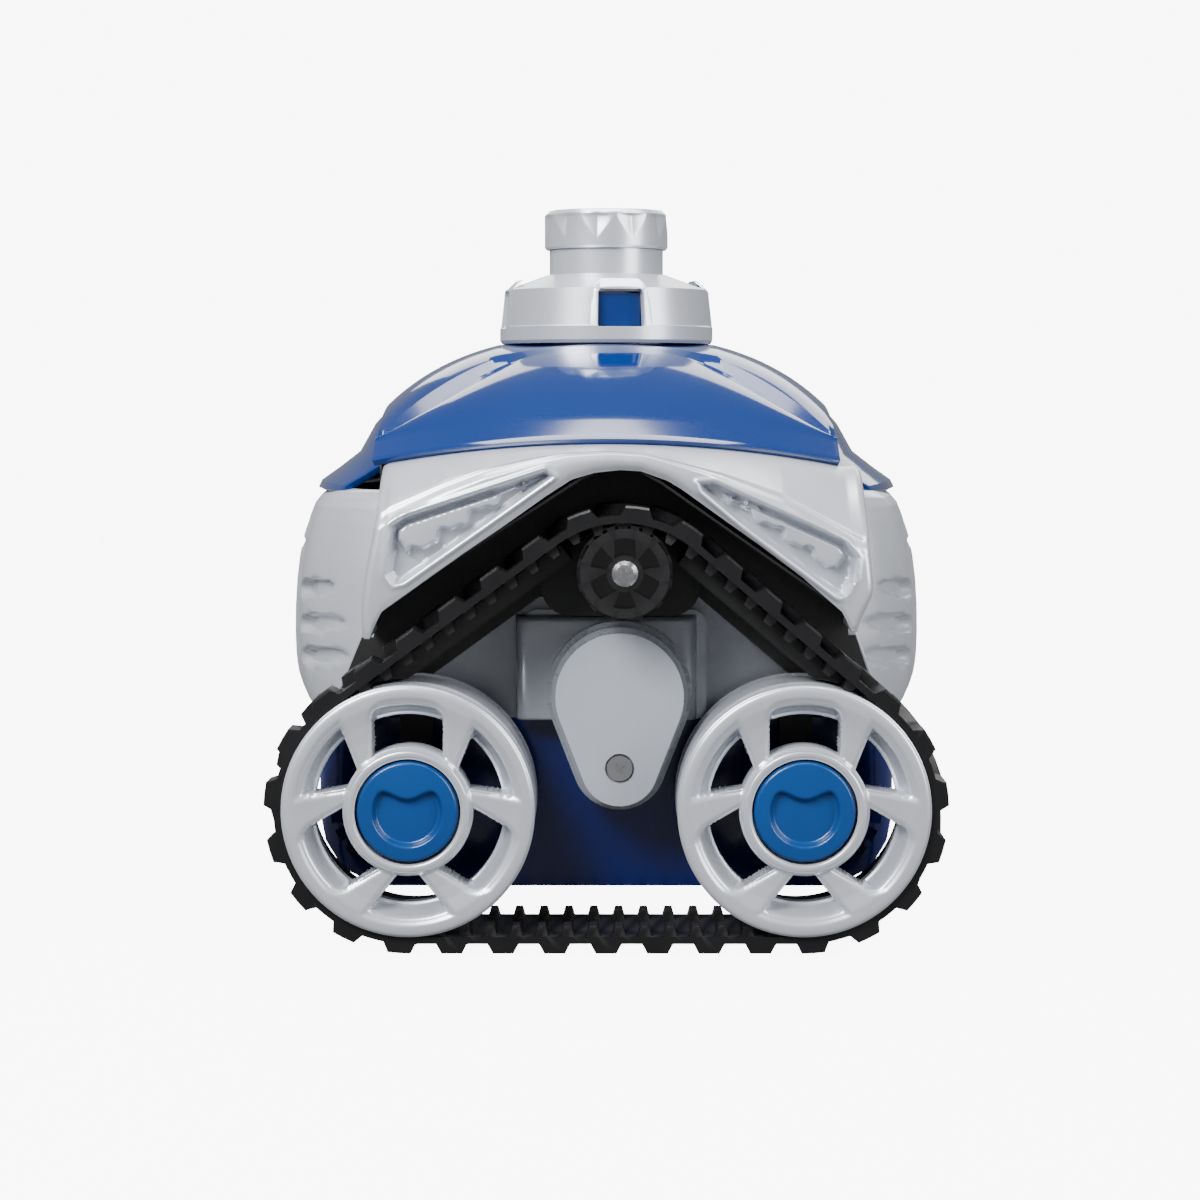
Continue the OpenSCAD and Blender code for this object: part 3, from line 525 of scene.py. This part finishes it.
def build_shade_wall(end):
    """A black wall across the hood's open arch, behind the end lip: painted shade inside the arch."""
    name = "rear" if end > 0 else "front"
    outline = [(y, z) for y, z in hood_section(BULKHEAD_X) if abs(y) <= 116]
    verts = [(end * BULKHEAD_X, y, z - 3.2) for y, z in outline]
    verts += [(end * BULKHEAD_X, y, DECK_Z - 1) for y, z in outline]
    wall = make(name + "_shade_wall", verts, grid_faces(2, len(outline), flip=end > 0), "black_plastic")
    thicken(wall, 1.5)


build_hood_shade_deck()
build_shade_wall(1)
build_shade_wall(-1)


# ---------------------------------------------------------------- tracks

WHEEL_R, BAND, LUG_H, LUGS = 51.5, 2.8, 4.2, 33  # radius inside the belt, then its band and lugs
AXLE_X = {"rear": 80, "front": -80}
AXLE_Z = WHEEL_R + BAND + LUG_H
TRACK_Y = -175  # the belt's outer edge
# The circles that the belt runs round, as (x, z, radius): the two wheels, then the arch above them.
LOOP = [(AXLE_X["front"], AXLE_Z, WHEEL_R), (AXLE_X["rear"], AXLE_Z, WHEEL_R), (6.5, 130.7, 44)]


def normal_angle(a, b):
    """The direction in which the belt's straight run from circle a to circle b faces."""
    d = math.hypot(b[0] - a[0], b[1] - a[1])
    return math.atan2(b[1] - a[1], b[0] - a[0]) - math.acos((a[2] - b[2]) / d)


def run_length(a, b):
    """Length of the straight run between circles a and b."""
    return math.sqrt((b[0] - a[0]) ** 2 + (b[1] - a[1]) ** 2 - (a[2] - b[2]) ** 2)


N_REAR = normal_angle(LOOP[1], LOOP[2])
N_FRONT = normal_angle(LOOP[2], LOOP[0]) + 2 * math.pi
# Distances round the loop, from the middle of the ground run, at which its arcs and runs end.
S1 = AXLE_X["rear"]
S2 = S1 + LOOP[1][2] * (N_REAR + math.pi / 2)
S3 = S2 + run_length(LOOP[1], LOOP[2])
S4 = S3 + LOOP[2][2] * (N_FRONT - N_REAR)
S5 = S4 + run_length(LOOP[2], LOOP[0])
S6 = S5 + LOOP[0][2] * (1.5 * math.pi - N_FRONT)
LENGTH = S6 + S1
PITCH = LENGTH / LUGS


def on_circle(c, a, h):
    """The point at angle a, h outside circle c."""
    return c[0] + (c[2] + h) * math.cos(a), c[1] + (c[2] + h) * math.sin(a)


def on_run(a, b, n, t, h):
    """The point at fraction t of the run from a to b, h outside it; n is the way the run faces."""
    p, q = on_circle(a, n, h), on_circle(b, n, h)
    return p[0] + (q[0] - p[0]) * t, p[1] + (q[1] - p[1]) * t


def track_point(s, h):
    """The point (x, z) at distance s round the loop, h outside the belt's inner face."""
    u = s % LENGTH
    if u < S1:
        return u, AXLE_Z - WHEEL_R - h
    if u < S2:
        return on_circle(LOOP[1], -math.pi / 2 + (u - S1) / LOOP[1][2], h)
    if u < S3:
        return on_run(LOOP[1], LOOP[2], N_REAR, (u - S2) / (S3 - S2), h)
    if u < S4:
        return on_circle(LOOP[2], N_REAR + (u - S3) / LOOP[2][2], h)
    if u < S5:
        return on_run(LOOP[2], LOOP[0], N_FRONT, (u - S4) / (S5 - S4), h)
    if u < S6:
        return on_circle(LOOP[0], N_FRONT + (u - S5) / LOOP[0][2], h)
    return u - LENGTH, AXLE_Z - WHEEL_R - h


def build_track(right):
    """A belt with slanted lugs outside and small cogs inside, each a ring of points round the loop."""
    outer_w = [0, 1, 18, 20, 25, 30, 32, 49, 50]
    lug_steps = [(-6.3, 0), (-4.2, 1), (-3.6, 1), (0, 1), (3.6, 1), (4.2, 1), (6.3, 0), (8.4, 0), (10.4, 0),
                 (12.5, 0)]
    verts = []
    for k in range(LUGS):
        for d, up in lug_steps:
            for w in outer_w:
                lean = PITCH / 2 * smoothstep(16, 34, w)
                chamfer = 0.9 if w in (0, 50) else 0
                x, z = track_point(k * PITCH + d + lean, BAND + (LUG_H - chamfer) * up)
                verts.append((x, TRACK_Y + w, z))
    rows, cols = LUGS * len(lug_steps), len(outer_w)
    faces = grid_faces(rows, cols, wrap_rows=True)
    base = len(verts)
    cog_steps = [(-2.6, 0), (-1.5, 1), (1.5, 1), (2.6, 0), (5.2, 0)]
    inner_w = [0, 1.9, 2.0, 12.0, 12.1, 25, 37.9, 38.0, 48.0, 48.1, 50]
    cogged = {2.0, 12.0, 38.0, 48.0}
    for k in range(2 * LUGS):
        for d, up in cog_steps:
            for w in inner_w:
                x, z = track_point((k + 0.5) * PITCH / 2 + d, -4.0 * up if w in cogged else 0)
                verts.append((x, TRACK_Y + w, z))
    rows2, cols2 = 2 * LUGS * len(cog_steps), len(inner_w)
    faces += [tuple(base + v for v in f) for f in grid_faces(rows2, cols2, wrap_rows=True, flip=True)]
    # A side wall joins the outer and inner rings, which have as many points as each other. The lugs
    # lean half a pitch, or five steps, across the belt, so the two walls pair the points differently.
    for outer_col, inner_col, lag, flip in ((0, 0, 5, False), (cols - 1, cols2 - 1, 0, True)):
        for i in range(rows):
            a = i * cols + outer_col
            b = ((i + 1) % rows) * cols + outer_col
            m = (i - lag) % rows2
            c = base + ((m + 1) % rows2) * cols2 + inner_col
            d = base + m * cols2 + inner_col
            faces.append((a, b, c, d) if flip else (d, c, b, a))
    track = make(side_name(right) + "_track_belt", verts, faces, "track_rubber", smooth_angle=28, right=right)
    bevel(track, 0.35, 2, 32)
    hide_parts(side_name(right) + "_track")


build_track(False)
build_track(True)


# ---------------------------------------------------------------- wheel faces

WEDGE = [(-4, 25), (-18.6, 43), (0, 50), (18.6, 43), (4, 25)]  # a window's outline, above the axle
ROUND_MID_V, ROUND_HALF_U, ROUND_HALF_V, ROUND_CORNER = 27.4, 14.3, 17.3, 8  # the other kind of window
WINDOW_IN, WINDOW_OUT = 26.3, 44.6
HOLE_R = 38.5  # a window is open inside this radius, and a cone leads from there to its outer edge
CONE_DEPTH = 11
HUB_R, FACE_R = 21.6, 51.3
FACE_Y = -178  # the wheel face's outer plane
FACE_STEPS = [(HUB_R, 0.4), (22.4, -0.3), (24, -0.3), (25.2, 0.3), (26.4, 1.5), (33, 1.5), (39, 0.9),
              (43, 0.1), (45, -0.3), (48.5, -0.3), (50.3, 0.1), (51.1, 1.0), (FACE_R, 2.0)]
RIM_BACK_Y, WINDOW_BACK_Y = 174, 161.5  # where the skirts of the rim and hub, and the windows, stop


def window_depth(x, z):
    """Signed distance into the nearest of the six windows; three are rounded and three are wedges."""
    r = math.hypot(x, z)
    ring = min(WINDOW_OUT - r, r - WINDOW_IN)
    best = -99
    for k in range(6):
        a = -math.radians(60 * k)
        u, v = x * math.cos(a) - z * math.sin(a), x * math.sin(a) + z * math.cos(a)
        if v < 0:
            continue
        if k % 2:
            d = inside_depth(WEDGE, u, v) - 0.3
        else:
            qu = abs(u) - ROUND_HALF_U + ROUND_CORNER
            qv = abs(v - ROUND_MID_V) - ROUND_HALF_V + ROUND_CORNER
            d = ROUND_CORNER - math.hypot(max(qu, 0), max(qv, 0)) - min(max(qu, qv), 0)
        best = max(best, min(d, ring))
    return best


def hole_depth(x, z):
    """Signed distance into the open part of the nearest window."""
    return min(window_depth(x, z), HOLE_R - math.hypot(x, z))


def wheel_depth(x, z):
    """How far the wheel's face lies behind its outer plane at (x, z)."""
    r, d = math.hypot(x, z), window_depth(x, z)
    face = along(FACE_STEPS, r)
    face += 0.9 * smoothstep(-2.2, 0, d)
    cone = CONE_DEPTH * (1 - smoothstep(0, 1, (r - HOLE_R) / (WINDOW_OUT - HOLE_R)) ** 1.3)
    return face + max(0, cone - face) * smoothstep(0, 0.9, d)


def snapped_to_window(x, z):
    """The point, moved on to a window's edge if it lies close to one."""
    step = 0.05
    for _ in range(2):
        d = hole_depth(x, z)
        if abs(d) < 0.42:
            gx = (hole_depth(x + step, z) - hole_depth(x - step, z)) / (2 * step)
            gz = (hole_depth(x, z + step) - hole_depth(x, z - step)) / (2 * step)
            g = max(0.5, gx * gx + gz * gz)
            x, z = x - d * gx / g, z - d * gz / g
    return x, z


def add_skirts(face, cx, right, smooth_angle):
    """Walls that run inwards from every open edge of a wheel face."""
    bm = bmesh.new()
    bm.from_mesh(face.data)
    bmesh.ops.delete(bm, geom=[v for v in bm.verts if not v.link_faces], context="VERTS")
    edges = [e for e in bm.edges if e.is_boundary]
    extruded = bmesh.ops.extrude_edge_only(bm, edges=edges)["geom"]
    side = 1 if right else -1
    for v in extruded:
        if isinstance(v, bmesh.types.BMVert):
            r = math.hypot(v.co.x / MM - cx, v.co.z / MM - AXLE_Z)
            v.co.y = side * MM * (RIM_BACK_Y if r > 50 or r < 22 else WINDOW_BACK_Y)
    bmesh.ops.recalc_face_normals(bm, faces=bm.faces)
    bm.to_mesh(face.data)
    bm.free()
    face.data.set_sharp_from_angle(angle=math.radians(smooth_angle))


def build_wheel_face(end, right):
    """The pierced outer face of a wheel, on polar rows of points from the hub to the rim."""
    rows, cols, smooth_angle = 46, 264, 42
    name = f"{end}_{side_name(right)}_wheel"
    cx = AXLE_X[end]
    flat = []
    for j in range(rows):
        r = HUB_R + (FACE_R - HUB_R) * j / (rows - 1)
        for i in range(cols):
            a = 2 * math.pi * i / cols
            flat.append(snapped_to_window(r * math.cos(a), r * math.sin(a)))
    faces = [f for f in grid_faces(rows, cols, wrap_cols=True) if hole_depth(*centre(flat, f)) < 0.03]
    verts = [(cx + x, FACE_Y + wheel_depth(x, z), AXLE_Z + z) for x, z in flat]
    face = make(name + "_face", verts, faces, "silver_plastic", body=name + "_turn", right=right,
                smooth_angle=smooth_angle)
    add_skirts(face, cx, right, smooth_angle)


for end in ("rear", "front"):
    for right in (False, True):
        build_wheel_face(end, right)


# ---------------------------------------------------------------- axle caps

CAP_R = 20.7
CAP_BACK_Y = -168.6


def cap_height(x, z):
    """Outward height of a cap's face: a low dome with a finger scoop under a two-horned edge."""
    r = math.hypot(x, z)
    dome = 2.2 * (1 - (r / 26) ** 2) - 2.0 * smoothstep(CAP_R - 1.1, CAP_R, r)
    ear = 6.2 + 3.2 * (1 - math.cos(math.pi * min(1.2, abs(x) / 10.7))) / 2
    in_circle = smoothstep(0, 2.2, 14.6 - r)
    below = smoothstep(0, 3.0, ear - z)
    return dome - 3.0 * in_circle * below


def build_cap(end, right):
    """A wheel's blue cap: rings of points over its face, a straight side and a flat back."""
    node = f"{end}_{side_name(right)}_axle_cap"
    cx = AXLE_X[end]
    rings, seg = 44, 120
    circle = [(math.cos(2 * math.pi * k / seg), math.sin(2 * math.pi * k / seg)) for k in range(seg)]
    verts = [(cx, FACE_Y - cap_height(0, 0), AXLE_Z)]
    for i in range(1, rings + 1):
        r = CAP_R * i / rings
        verts += [(cx + r * u, FACE_Y - cap_height(r * u, r * v), AXLE_Z + r * v) for u, v in circle]
    faces = [(0, 1 + (k + 1) % seg, 1 + k) for k in range(seg)]
    for i in range(rings - 1):
        for k in range(seg):
            a = 1 + i * seg + k
            b = 1 + i * seg + (k + 1) % seg
            faces.append((a, b, b + seg, a + seg))
    last, back = 1 + (rings - 1) * seg, len(verts)
    verts += [(cx + CAP_R * u, CAP_BACK_Y, AXLE_Z + CAP_R * v) for u, v in circle]
    for k in range(seg):
        n = (k + 1) % seg
        faces.append((last + k, last + n, back + n, back + k))
    faces.append(tuple(range(back, back + seg)))
    cap = make(node + "_disc", verts, faces, "cap_blue", smooth_angle=50, right=right)
    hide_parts(node)


for end in ("rear", "front"):
    for right in (False, True):
        build_cap(end, right)


# ---------------------------------------------------------------- hose swivel

RING_BASE, RING_H = 292.3, 17.6
RING_R, RING_BORE_R = 28.3, 24.95


def build_twist_ring():
    """The swivel's grip ring, whose flutes widen towards the top."""
    seg, rows, flutes = 360, 34, 11
    circle = [(math.cos(2 * math.pi * (k / seg)), math.sin(2 * math.pi * (k / seg))) for k in range(seg)]
    verts = []
    for j in range(rows):
        z = RING_BASE + RING_H * j / (rows - 1)
        v = (z - RING_BASE) / RING_H
        r0 = RING_R - 0.8 * (1 - smoothstep(0, 0.06, v)) - 2.0 * smoothstep(0.86, 1.0, v) ** 1.5
        half = 0.47 * smoothstep(0.12, 0.9, v)
        deep = 1.5 * smoothstep(0.1, 0.4, v) * (1 - 0.75 * smoothstep(0.8, 0.97, v))
        for k in range(seg):
            t = (k / seg * flutes + 0.5) % 1 - 0.5
            r = r0 - deep * max(0, half - abs(t)) / 0.47
            verts.append((r * circle[k][0], r * circle[k][1], z))
    faces = grid_faces(rows, seg, wrap_cols=True)
    top, b = (rows - 1) * seg, len(verts)
    for z in (RING_BASE + RING_H, RING_BASE):
        verts += [(RING_BORE_R * u, RING_BORE_R * v, z) for u, v in circle]
    for k in range(seg):
        n = (k + 1) % seg
        faces.append((top + k, top + n, b + n, b + k))
        faces.append((b + k, b + n, b + seg + n, b + seg + k))
        faces.append((b + seg + k, b + seg + n, n, k))
    ring = make("twist_ring_grip", verts, faces, "silver_plastic", body="hose_connector", smooth_angle=22)
    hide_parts("twist_ring")


build_twist_ring()

CAP_SKIRT = [(257, 48.4), (273.7, 46.6), (280.7, 27.5)]  # (z, radius)


def cap_radius(z):
    """Outer radius of the swivel cap's skirt at height z."""
    return along(CAP_SKIRT, z)


def build_window_frame(index):
    """A raised frame round one window of the swivel cap."""
    middle = math.radians(-90 + 8 + 90 * index)
    shoulder_z = CAP_SKIRT[1][0]
    outer = [(-14.5, 255.5), (14.5, 255.5), (13.6, 274.5), (9.5, 278.2), (-9.5, 278.2), (-13.6, 274.5)]
    inner = [(-10.6, 256.3), (10.6, 256.3), (10.4, 271.5), (9.4, 273.0), (-9.4, 273.0), (-10.4, 271.5)]
    verts = []
    for ring, lift in ((outer, -1.0), (outer, 0.55), (inner, 0.55), (inner, -3.5)):
        for w, z in ring:
            r = cap_radius(min(z, shoulder_z))
            if z >= 274:
                r -= (z - shoulder_z) * 1.2
            a = middle + w / 48
            verts.append(((r + lift) * math.cos(a), (r + lift) * math.sin(a), z))
    faces = grid_faces(4, 6, wrap_cols=True)
    piece = make(f"swivel_window_frame_{index + 1}", verts, faces, "silver_plastic", smooth_angle=40)
    bevel(piece, 0.5)


for index in range(4):
    build_window_frame(index)


# ---------------------------------------------------------------- gearcase faces

CASE_HALF_W = 38
CASE_BASE_Z, CASE_TOP_Z = 90, 134
CASE_Y = -128.6
SHAFT_X, SHAFT_Z, SHAFT_HOLE_R = 5.5, 102, 6


def rolled(v):
    """How far a face has dropped back at v, which goes from 0 to 1 across its rounded edge."""
    return 4.6 * (1 - math.sqrt(max(0, 1 - v ** 2)))


def build_case_face(right):
    """The rolled face of the gearcase, behind the gear cover."""
    cols, rows = 90, 48
    verts = []
    for j in range(rows):
        z = CASE_BASE_Z + (CASE_TOP_Z - CASE_BASE_Z) * j / (rows - 1)
        for i in range(cols):
            x = -CASE_HALF_W + 2 * CASE_HALF_W * i / (cols - 1)
            side = 1 - min(1, min(x + CASE_HALF_W, CASE_HALF_W - x) / 6.5)
            top = 1 - min(1, (CASE_TOP_Z - z) / 3.0)
            verts.append((x, CASE_Y + min(4.8, rolled(side) + rolled(top)), z))
    faces = []
    for f in grid_faces(rows, cols):
        x, _, z = centre(verts, f)
        if math.hypot(x - SHAFT_X, z - SHAFT_Z) > SHAFT_HOLE_R:
            faces.append(f)
    face = make(side_name(right) + "_gearcase_face", verts, faces, "housing_grey", right=right,
                smooth_angle=50)
    thicken(face, 1.2)


build_case_face(False)
build_case_face(True)


# ---------------------------------------------------------------- edges of the moulded pieces

EDGE_WIDTHS = {
    "rear_left_wheel": 0.7, "front_left_wheel": 0.7, "rear_right_wheel": 0.7, "front_right_wheel": 0.7,
    "left_gear_cover": 0.9, "right_gear_cover": 0.9, "left_gearcase": 0.8, "right_gearcase": 0.8,
    "lower_chassis": 0.8, "left_track_frame": 0.6, "right_track_frame": 0.6, "swivel_cap": 0.5,
    "swivel_neck": 0.5, "left_sprocket": 0.4, "right_sprocket": 0.4, "intake_plate": 0.5,
    "left_arch_liner": 0.4, "right_arch_liner": 0.4,
}
for name, width in EDGE_WIDTHS.items():
    bevel(NODES[name], width, 2, 35)


def second_material(node, slot, chosen):
    """Gives the polygons of a CAD node for which chosen is true another material."""
    data = NODES[node].data
    data.materials.append(MATS[slot])
    for p in data.polygons:
        if chosen(p):
            p.material_index = 1


# Polygons inside a wheel's barrel, which get black plastic: painted shade, since the real barrel is silver in
# shadow.
def in_shaded_wheel_hollow(p):
    r = math.hypot(abs(p.center.x) / MM - AXLE_X["rear"], p.center.z / MM - AXLE_Z)
    return abs(p.center.y) / MM < 160 and r < 46


# Faces of a gear cover behind its front plate, or not facing outward, which get a darker grey: painted shade
# on the side walls.
def on_shaded_cover_side(p):
    return abs(p.center.y) / MM < 151.5 or abs(p.normal.y) < 0.9


# Black plastic in the wheel hollows and darker grey on the gear covers' side walls are painted shade.
for side in ("left", "right"):
    for end in ("rear", "front"):
        second_material(f"{end}_{side}_wheel", "black_plastic", in_shaded_wheel_hollow)
    second_material(side + "_gear_cover", "cover_side", on_shaded_cover_side)
for obj in NODES.values():
    if obj.type == "MESH":
        for p in obj.data.polygons:
            p.use_smooth = True
        obj.data.set_sharp_from_angle(angle=math.radians(30))


# ---------------------------------------------------------------- floor, light and camera

# In metres.
FLOOR_FRONT_Y, FLOOR_BACK_Y, FLOOR_HALF_W = -9, 2.5, 9
BEND_R = 2
WALL_TOP_Z = 8


def pale_material(name, color, rough):
    """A floor that looks evenly pale whatever light falls on it."""
    mat = plastic(name, tuple(c * 0.3 for c in color[:3]) + (1,), rough, grain=0.05, vary=0.004, wear=0)
    bsdf = mat.node_tree.nodes["Principled BSDF"]
    bsdf.inputs["Emission Color"].default_value = color
    bsdf.inputs["Emission Strength"].default_value = 9
    return mat


def build_backdrop():
    """A pale floor that curves up into a wall far behind the object, and lights nothing itself."""
    steps = 24
    profile = [(FLOOR_FRONT_Y, 0)]
    for k in range(steps + 1):
        a = math.pi / 2 * k / steps
        profile.append((FLOOR_BACK_Y + BEND_R * math.sin(a), BEND_R - BEND_R * math.cos(a)))
    profile.append((FLOOR_BACK_Y + BEND_R, WALL_TOP_Z))
    verts = [(x, y, z - 0.0005) for y, z in profile for x in (-FLOOR_HALF_W, FLOOR_HALF_W)]
    mesh = bpy.data.meshes.new("backdrop")
    mesh.from_pydata(verts, [], [(2 * i, 2 * i + 1, 2 * i + 3, 2 * i + 2) for i in range(len(profile) - 1)])
    for p in mesh.polygons:
        p.use_smooth = True
    backdrop = bpy.data.objects.new("backdrop", mesh)
    bpy.context.scene.collection.objects.link(backdrop)
    backdrop.visible_diffuse = False
    backdrop.visible_glossy = False
    backdrop.data.materials.append(pale_material("backdrop_pale", (0.93, 0.93, 0.93, 1), 0.8))


build_backdrop()

world = bpy.data.worlds.new("studio")
bpy.context.scene.world = world
world.use_nodes = True
world.node_tree.nodes["Background"].inputs["Color"].default_value = (0.95, 0.96, 0.98, 1)
world.node_tree.nodes["Background"].inputs["Strength"].default_value = 0.3


def area(name, place, target, size, power):
    """A white area light, turned towards its target; its size is (width, height)."""
    light = bpy.data.lights.new(name, "AREA")
    light.shape = "RECTANGLE"
    light.size, light.size_y = size
    light.energy = power
    lamp = bpy.data.objects.new(name, light)
    lamp.location = place
    lamp.rotation_euler = (Vector(target) - Vector(place)).to_track_quat("-Z", "Y").to_euler()
    bpy.context.scene.collection.objects.link(lamp)


area("key", (-0.9, -1.3, 1.3), (0, 0, 0.15), (0.9, 0.9), 72)
area("fill", (1.3, -1.0, 0.8), (0, 0, 0.15), (0.8, 1.2), 27)
area("top", (0, 0.1, 1.6), (0, 0, 0.2), (1.2, 0.8), 34)
area("rim", (0.2, 1.4, 0.9), (0, 0, 0.15), (1.4, 0.6), 8)

CAMERA_PLACE = (0, -1.275, 0.226)
CAMERA_DOWN, CAMERA_TURN = 4.27, 0.13  # degrees

lens = bpy.data.cameras.new("camera")
lens.lens = 82.5
lens.sensor_width = 36
lens.clip_end = 50
camera = bpy.data.objects.new("camera", lens)
camera.location = CAMERA_PLACE
camera.rotation_euler = (math.radians(90 - CAMERA_DOWN), 0, math.radians(CAMERA_TURN))
bpy.context.scene.collection.objects.link(camera)
bpy.context.scene.camera = camera
